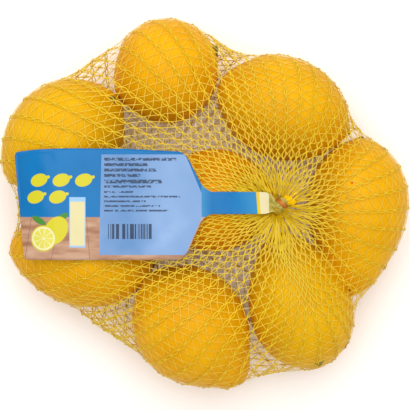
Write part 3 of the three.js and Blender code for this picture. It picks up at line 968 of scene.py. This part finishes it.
# GLARE and NECK_GLARE are painted reflections: pale blues of lamp light off the glossy film.
GLARE = linear(150, 179, 219)
NECK_GLARE = linear(120, 205, 235)
GREY_TEXT = linear(34, 46, 70)
LEMON_YELLOW = linear(206, 196, 40)
PITH = linear(226, 222, 178)
PULP = linear(216, 206, 84)
LEAF_GREEN = linear(70, 132, 52)
JUICE = linear(218, 208, 156)
GLASS_RIM = linear(150, 190, 226)
CREAM = linear(224, 212, 168)
BAND_YELLOW = linear(224, 192, 30)
LABEL_BACK = [(196, 210, 224), (222, 230, 238)]

# The print's layout. A box is (left, right, low, high), an oval (x, y, half width, half height,
# turn in degrees), and a joint between boards is its x at the top and at the bottom.
BOARD_TOP = -7.6
BOARD_RIGHT = 3
BOARD_JOINTS = [(-97, -101), (-80.5, -86), (-66, -64), (-3, -13)]
JOINT_TOP = -8
JOINT_BOTTOM = -33
JOINT_HALF_WIDTH = 0.15
GRAIN_STRETCH = 5.0
# How strongly the painted glare at the neck's ends shows.
NECK_GLARE_SHARE = 0.2
SMALL_LEMONS = [(-92.5, 13), (-80, 13), (-67.5, 13), (-94.5, 3.6), (-82, 3.6)]
SMALL_LEMON = (4.9, 3.5, 18)
SMALL_TIP = (1.1, 0.9, 18)
TIP_OFFSET = (5.1, 1.7)
GLASS = (-75.5, -66.5, -24.5, 3.5)
DRINK = (-75, -67, -23.5, 1)
LEAVES = [(-80.5, -8.5, 5.2, 1.9, 35), (-92.5, -9.5, 4.4, 1.7, 150)]
WHOLE_LEMON = (-83, -15, 8.2, 6.2, 60)
CUT_LEMON = (-90, -19.5)
CUT_RADIUS = 7.2
SEGMENTS = 9
PANEL_LEFT = -58.25
PANEL_SLANT = -0.0231
PANEL_LOW = -28.7
PANEL_HIGH = 27.3
PANEL_RIGHT = -1.9
PANEL_SHOULDERS = [((-1.4, 4.5), (-10.9, 27.1)), ((-10.9, -28.5), (-1.5, -7.4))]
# Where a streak of painted glare lies across the data panel's corner.
GLARE_STREAK = (-20, -17, 15, 4.5, 40)
# Rows of grey marks, as (middle, height, right end).
TEXT_LEFT = -56.2
TEXT_ROWS = [
    (24.6, 1.7, -16), (21.6, 1.7, -32), (18.6, 1.7, -27), (15.6, 1.7, -36), (12.2, 2.1, -24), (9.4, 1.2, -30),
    (6.4, 1.0, -40), (3.8, 1.0, -14), (1.2, 1.0, -33), (-1.4, 1.0, -25), (-4.0, 1.0, -20),
]
BAR_BOX = (-54.4, -29.7, -19.8, -11.4)
BARS_TO_MM = 2.3
BAND_SLANT = 0.08
BAND_START = 29.1
CREAM_START = 30.8


def number_node(tree, operation, *values):
    """A maths node; each value is a number or another node's output."""
    node = tree.nodes.new("ShaderNodeMath")
    node.operation = operation
    for socket, value in zip(node.inputs, values):
        if isinstance(value, (int, float)):
            socket.default_value = value
        else:
            tree.links.new(value, socket)
    return node.outputs[0]


def over(tree, value, edge, soft=0.12):
    """1 where the value is past the edge, 0 before it, with a hair of blur between."""
    node = tree.nodes.new("ShaderNodeMapRange")
    node.inputs["From Min"].default_value = edge - soft
    node.inputs["From Max"].default_value = edge + soft
    tree.links.new(value, node.inputs["Value"])
    return node.outputs[0]


def both(tree, *masks):
    """1 where all masks are 1."""
    result = masks[0]
    for mask in masks[1:]:
        result = number_node(tree, "MULTIPLY", result, mask)
    return result


def under(tree, value, edge, soft=0.12):
    """1 where the value is short of the edge, 0 past it."""
    return number_node(tree, "SUBTRACT", 1.0, over(tree, value, edge, soft))


def box_mask(tree, x, y, left, right, low, high):
    """1 inside an upright box."""
    return both(tree, over(tree, x, left), under(tree, x, right), over(tree, y, low), under(tree, y, high))


def oval_distance(tree, x, y, across, along, width, height, turn=0.0):
    """1 on the rim of an oval, less inside it."""
    cosine, sine = math.cos(math.radians(turn)), math.sin(math.radians(turn))
    dx = number_node(tree, "SUBTRACT", x, float(across))
    dy = number_node(tree, "SUBTRACT", y, float(along))
    main = number_node(tree, "MULTIPLY_ADD", dx, cosine, number_node(tree, "MULTIPLY", dy, sine))
    side = number_node(tree, "MULTIPLY_ADD", dy, cosine, number_node(tree, "MULTIPLY", dx, -sine))
    squares = []
    for value, reach in ((main, width), (side, height)):
        share = number_node(tree, "ABSOLUTE", number_node(tree, "DIVIDE", value, reach))
        squares.append(number_node(tree, "POWER", share, 2.0))
    return number_node(tree, "SQRT", number_node(tree, "ADD", *squares))


def oval_mask(tree, x, y, *sizes):
    """1 inside an oval."""
    return under(tree, oval_distance(tree, x, y, *sizes), 1.0, 0.03)


def slope_mask(tree, x, y, start, end):
    """1 to the left of the line from start to end."""
    nx, ny = end[1] - start[1], start[0] - end[0]
    length = math.hypot(nx, ny)
    value = number_node(tree, "MULTIPLY_ADD", x, nx / length, number_node(tree, "MULTIPLY", y, ny / length))
    return under(tree, value, (start[0] * nx + start[1] * ny) / length)


def faint(tree, mask, strength):
    """A mask at part of its strength."""
    return number_node(tree, "MULTIPLY", mask, strength)


label_print, tree, shader = new_material("label print", 0.28)
shader.inputs["Specular IOR Level"].default_value = 0.22
place = tree.nodes.new("ShaderNodeTexCoord")
split = tree.nodes.new("ShaderNodeSeparateXYZ")
tree.links.new(place.outputs["Object"], split.inputs[0])
x = number_node(tree, "MULTIPLY_ADD", split.outputs[0], 1 / MM, -float(CENTRING[0]) / MM)
y = number_node(tree, "MULTIPLY_ADD", split.outputs[1], 1 / MM, -float(CENTRING[1]) / MM)

# The blue ground, the boards with their grain and joints, and a painted glare at both ends of the neck.
paint = mottled(tree, 22, 2, BLUES)
stretch = tree.nodes.new("ShaderNodeMapping")
stretch.inputs["Scale"].default_value = (1.0, GRAIN_STRETCH, 1.0)
tree.links.new(place.outputs["Object"], stretch.inputs["Vector"])
grain = tree.nodes.new("ShaderNodeTexNoise")
grain.inputs["Scale"].default_value = 55
grain.inputs["Detail"].default_value = 5
tree.links.new(stretch.outputs["Vector"], grain.inputs["Vector"])
wood = ramp(tree, grain.outputs["Fac"], WOODS)
for top_x, bottom_x in BOARD_JOINTS:
    line = number_node(tree, "MULTIPLY_ADD", y, (top_x - bottom_x) / (JOINT_BOTTOM - JOINT_TOP), x)
    middle = top_x + JOINT_TOP * (top_x - bottom_x) / (JOINT_BOTTOM - JOINT_TOP)
    left, right = middle - JOINT_HALF_WIDTH, middle + JOINT_HALF_WIDTH
    seam = both(tree, over(tree, line, left), under(tree, line, right))
    wood = blend_colours(tree, seam, wood, JOINT_BROWN)
board = both(tree, under(tree, y, BOARD_TOP), under(tree, x, BOARD_RIGHT))
paint = blend_colours(tree, board, paint, wood)
glare_at_neck_ends = number_node(tree, "ADD", over(tree, x, 22, 8), under(tree, x, 1, 3))
painted_neck_glare = faint(tree, both(tree, over(tree, x, -2), glare_at_neck_ends), NECK_GLARE_SHARE)
paint = blend_colours(tree, painted_neck_glare, paint, NECK_GLARE)

# Small lemons on the blue, each an oval with a tip.
for across, up in SMALL_LEMONS:
    paint = blend_colours(tree, oval_mask(tree, x, y, across, up, *SMALL_LEMON), paint, LEMON_YELLOW)
    tip = oval_mask(tree, x, y, across + TIP_OFFSET[0], up + TIP_OFFSET[1], *SMALL_TIP)
    paint = blend_colours(tree, tip, paint, LEMON_YELLOW)

# On the boards: a glass of juice, a lemon with its leaves, and a cut lemon.
for box, tone in ((GLASS, GLASS_RIM), (DRINK, JUICE)):
    paint = blend_colours(tree, box_mask(tree, x, y, *box), paint, tone)
for leaf in LEAVES:
    paint = blend_colours(tree, oval_mask(tree, x, y, *leaf), paint, LEAF_GREEN)
paint = blend_colours(tree, oval_mask(tree, x, y, *WHOLE_LEMON), paint, LEMON_YELLOW)
wheel = oval_distance(tree, x, y, *CUT_LEMON, CUT_RADIUS, CUT_RADIUS)
for rim, tone in ((1.0, LEMON_YELLOW), (0.9, PITH)):
    paint = blend_colours(tree, under(tree, wheel, rim, 0.02), paint, tone)
from_hub = [number_node(tree, "ADD", value, -hub) for value, hub in ((y, CUT_LEMON[1]), (x, CUT_LEMON[0]))]
wheel_turn = number_node(tree, "ARCTAN2", *from_hub)
wheel_wave = number_node(tree, "SINE", number_node(tree, "MULTIPLY", wheel_turn, SEGMENTS / 2))
spokes = over(tree, number_node(tree, "ABSOLUTE", wheel_wave), 0.22, 0.1)
segments = both(tree, spokes, under(tree, wheel, 0.78, 0.03), over(tree, wheel, 0.1, 0.03))
paint = blend_colours(tree, segments, paint, PULP)

# The data panel, with a painted glare that makes it paler in clouds, towards the neck and in one streak
# across its corner.
panel_edge = number_node(tree, "MULTIPLY_ADD", y, PANEL_SLANT, x)
panel = both(
    tree, over(tree, panel_edge, PANEL_LEFT), under(tree, y, PANEL_HIGH), over(tree, y, PANEL_LOW),
    under(tree, x, PANEL_RIGHT), *(slope_mask(tree, x, y, start, end) for start, end in PANEL_SHOULDERS),
)
glare_streak = under(tree, oval_distance(tree, x, y, *GLARE_STREAK), 0.6, 0.6)
shine = both(tree, panel, glare_streak, over(tree, noise(tree, 90, 4), 0.5, 0.15))
glare_clouds = ramp(tree, noise(tree, 28, 2), [(0.42, (0, 0, 0, 1)), (0.75, (0.7, 0.7, 0.7, 1))])
panel_paint = blend_colours(tree, glare_clouds, PANEL_BLUE, GLARE)
panel_paint = blend_colours(tree, faint(tree, over(tree, x, -26, 10), 0.4), panel_paint, GLARE)
paint = blend_colours(tree, panel, paint, panel_paint)
paint = blend_colours(tree, faint(tree, shine, 0.8), paint, GLARE)

# Grey rows broken up by fine noise, and upright bars of random width.
letters = over(tree, noise(tree, 760, 2), 0.43, 0.03)
for middle, tall, right in TEXT_ROWS:
    row = box_mask(tree, x, y, TEXT_LEFT, right, middle - tall / 2, middle + tall / 2)
    paint = blend_colours(tree, faint(tree, both(tree, row, letters), 0.85), paint, GREY_TEXT)
along_bars = tree.nodes.new("ShaderNodeCombineXYZ")
tree.links.new(number_node(tree, "FLOOR", number_node(tree, "MULTIPLY", x, BARS_TO_MM)), along_bars.inputs[0])
bar_noise = tree.nodes.new("ShaderNodeTexWhiteNoise")
tree.links.new(along_bars.outputs[0], bar_noise.inputs["Vector"])
bars = both(tree, box_mask(tree, x, y, *BAR_BOX), over(tree, bar_noise.outputs["Value"], 0.45, 0.01))
paint = blend_colours(tree, faint(tree, bars, 0.9), paint, GREY_TEXT)

# The neck ends in a thin yellow band and a cream one.
band_edge = number_node(tree, "MULTIPLY_ADD", y, BAND_SLANT, x)
paint = blend_colours(tree, over(tree, band_edge, BAND_START), paint, BAND_YELLOW)
paint = blend_colours(tree, over(tree, band_edge, CREAM_START, 0.3), paint, CREAM)
tree.links.new(paint, shader.inputs["Base Color"])
add_bump(tree, shader, noise(tree, 110, 2), 0.0008, 0.25)

label_back, tree, shader = new_material("label back", 0.4)
tree.links.new(mottled(tree, 60, 2, LABEL_BACK), shader.inputs["Base Color"])

label_tree = BVHTree.FromObject(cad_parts["label"], bpy.context.evaluated_depsgraph_get())


def card_height(x, y):
    """Height of the label's upper face at a place, all in millimetres."""
    ray_start = Vector((x * MM + CENTRING[0], y * MM + CENTRING[1], 0.2))
    hit = label_tree.ray_cast(ray_start, Vector((0, 0, -1)))[0]
    return None if hit is None else hit.z / MM


def label_edges(x, from_end):
    """The label's low and high edge at x, with its corners rounded off."""
    outline = np.array(LABEL_OUTLINE)
    near = x + np.linspace(-EDGE_EASE, EDGE_EASE, 7)
    low, high = (np.interp(near, outline[:, 0], outline[:, column]).mean() for column in (1, 2))
    short = max(0.0, CORNER - from_end)
    inset = CORNER - math.sqrt(max(0.0, CORNER**2 - short**2))
    return low + inset, high - inset


def label_height(x, y):
    """The card's own height, or the nearest one where the film runs past it."""
    for pull in (1.0, 0.995, 0.98, 0.96, 0.9):
        height = card_height(x * pull - 0.02, y * pull)
        if height is not None:
            break
    return height


def sheet_faces(steps, lanes):
    """Faces of a sheet of points, laid out by steps along it and by lanes across."""
    faces = []
    for step in range(steps):
        for lane in range(lanes):
            a = step * (lanes + 1) + lane
            b = a + lanes + 1
            faces.append((a, b, b + 1, a + 1))
    return faces


outline_end = LABEL_OUTLINE[-1][0]
points = []
for step in range(LABEL_STEPS + 1):
    along_label = (step / LABEL_STEPS) ** LABEL_CROWDING
    for lane in range(LABEL_LANES + 1):
        across = lane / LABEL_LANES
        start = LABEL_END_SLANT[0] * (1 - across) + LABEL_END_SLANT[1] * across
        x = start + (outline_end - start) * along_label
        low, high = label_edges(x, x - start)
        y = low + (high - low) * across
        ripple = 0.12 * math.sin(x * 0.21 + 1.0) * math.sin(y * 0.17 + 0.4)
        ripple += 0.10 * math.sin(x * 0.47 + y * 0.3)
        points.append((x, y, label_height(x, y) + ripple))
points = np.array(points)
across_count = LABEL_LANES + 1
layer = len(points)
faces = []
for a, b, d, c in sheet_faces(LABEL_STEPS, LABEL_LANES):
    faces.append((a, b, d, c))
    faces.append((layer + a, layer + c, layer + d, layer + b))
for step in range(LABEL_STEPS):
    a = step * across_count
    b = a + across_count
    faces.append((a, layer + a, layer + b, b))
    faces.append((b + LABEL_LANES, layer + b + LABEL_LANES, layer + a + LABEL_LANES, a + LABEL_LANES))
for lane in range(LABEL_LANES):
    last = LABEL_STEPS * across_count + lane
    faces.append((lane + 1, layer + lane + 1, layer + lane, lane))
    faces.append((last, layer + last, layer + last + 1, last + 1))
lower = points - [0, 0, LABEL_THICKNESS]
label = make_piece("label_card", np.concatenate([points, lower]), faces, label_print)
label.data.materials.append(label_back)
for polygon in label.data.polygons:
    polygon.material_index = int(min(polygon.vertices) >= layer)
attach(label, "root")
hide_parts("label")


# ---- The label's film end ---------------------------------------------------------------------
# Past the card the label is bare clear film. It is crumpled round the gathered net, goes through the clip
# with it, and flares out again with a curled edge.
FILM_STEPS = 44
FILM_LANES = 40
FILM_THICKNESS = 0.12
# It leaves the card flat and rising, is gathered over its first FILM_GATHER, reaches the clip at
# FILM_TIGHT of its length, and ends FILM_PAST_CLIP of the neck's way further on.
FILM_START = 36.0
FILM_MIDDLE = 0.25
FILM_HALF_WIDTH = 5.3
FILM_RUN = 8
FILM_RISE = 6
FILM_GATHER = 0.6
FILM_TIGHT = 0.78
FILM_PAST_CLIP = 0.11
FILM_RADIUS = 2.62
FILM_FLARE = 1.6
FILM_SLACK = 2.2
FILM_UP = math.radians(227)
FILM_WRAP = math.radians(104)
FILM_TONES = [(160, 140, 40), (206, 188, 92)]

film, tree, shader = new_material("crumpled clear film", 0.22)
tint = mottled(tree, 320, 3, FILM_TONES, (0.35, 0.65))
tree.links.new(tint, shader.inputs["Base Color"])
shader.inputs["Alpha"].default_value = 0.86
add_bump(tree, shader, noise(tree, 500, 3), 0.0006, 0.6)

points = []
for step in range(FILM_STEPS + 1):
    share = step / FILM_STEPS
    neck_share = CLIP_SHARE + FILM_PAST_CLIP * (share - FILM_TIGHT) / (1 - FILM_TIGHT)
    centre, axis, lean = neck_frame(TOP_NECK, float(np.clip(neck_share, 0.3, 1)))
    flare = max(0.0, (share - FILM_TIGHT - 0.08) / (1 - FILM_TIGHT - 0.08))
    radius = FILM_RADIUS + FILM_FLARE * flare**1.4 + FILM_SLACK * max(0.0, FILM_TIGHT - 0.1 - share)
    gather = min(1.0, share / FILM_GATHER)
    gather = gather * gather * (3 - 2 * gather)
    for lane in range(FILM_LANES + 1):
        across = 2 * lane / FILM_LANES - 1
        flat_y = FILM_MIDDLE + FILM_HALF_WIDTH * across
        edge_height = label_height(FILM_START, flat_y * 0.8)
        flat = np.array([FILM_START + FILM_RUN * share, flat_y, edge_height + 0.1 + FILM_RISE * share])
        angle = FILM_UP - FILM_WRAP * across
        outward = lean @ np.array([math.cos(angle), math.sin(angle), 0])
        fold = math.sin(across * 9 + 2.2 * math.sin(share * 7)) + 0.5 * math.sin(across * 21 + share * 11)
        loose = math.sin(math.pi * min(1.0, share / FILM_TIGHT)) * 0.4 + 0.3 * flare
        point = flat * (1 - gather) + (centre + outward * radius) * gather + outward * fold * loose
        points.append(point + axis * flare * 0.6 * math.sin(across * 6 + 1))
film_end = make_piece("label_film_end", points, sheet_faces(FILM_STEPS, FILM_LANES), film)
thicken = film_end.modifiers.new("thickness", "SOLIDIFY")
thicken.thickness = FILM_THICKNESS * MM
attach(film_end, "root")
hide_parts("label")


# ---- Floor, light and camera ------------------------------------------------------------------
# A plain pale table that glows faintly, under soft studio light, seen from straight above.
FLOOR_TONES = [(251, 246, 244), (253, 250, 249)]

glowing_floor_paint, tree, shader = new_material("pale floor", 0.8)
tree.links.new(mottled(tree, 6, 2, FLOOR_TONES), shader.inputs["Base Color"])
# The floor's faint warm glow is painted light: it lightens and warms the floor in the shade under the bag and
# round it.
shader.inputs["Emission Color"].default_value = (1.0, 0.8, 0.6, 1.0)
shader.inputs["Emission Strength"].default_value = 0.08
bpy.ops.mesh.primitive_plane_add(size=6, location=(0, 0, -0.0002))
floor = bpy.context.object
floor.name = "floor"
floor.data.materials.append(glowing_floor_paint)


def soft_light(name, location, size, power):
    """A square studio lamp that faces the bag."""
    lamp = bpy.data.lights.new(name, "AREA")
    lamp.size = size
    lamp.energy = power
    holder = bpy.data.objects.new(name, lamp)
    holder.location = location
    holder.rotation_euler = (-Vector(location)).to_track_quat("-Z", "Y").to_euler()
    bpy.context.scene.collection.objects.link(holder)


soft_light("key", (-0.1, 0.6, 1.3), 1.8, 17.6)
soft_light("fill", (0.4, -0.3, 1.4), 2.0, 4.5)
world = bpy.data.worlds.new("studio")
world.use_nodes = True
world.node_tree.nodes["Background"].inputs["Color"].default_value = (1, 1, 1, 1)
world.node_tree.nodes["Background"].inputs["Strength"].default_value = 0.625
bpy.context.scene.world = world
bpy.context.scene.view_settings.view_transform = "Standard"

camera = bpy.data.objects.new("camera", bpy.data.cameras.new("camera"))
camera.data.angle = math.radians(13.86)
camera.location = (CENTRING[0], CENTRING[1] - 0.00086, 1.0)
bpy.context.scene.collection.objects.link(camera)
bpy.context.scene.camera = camera
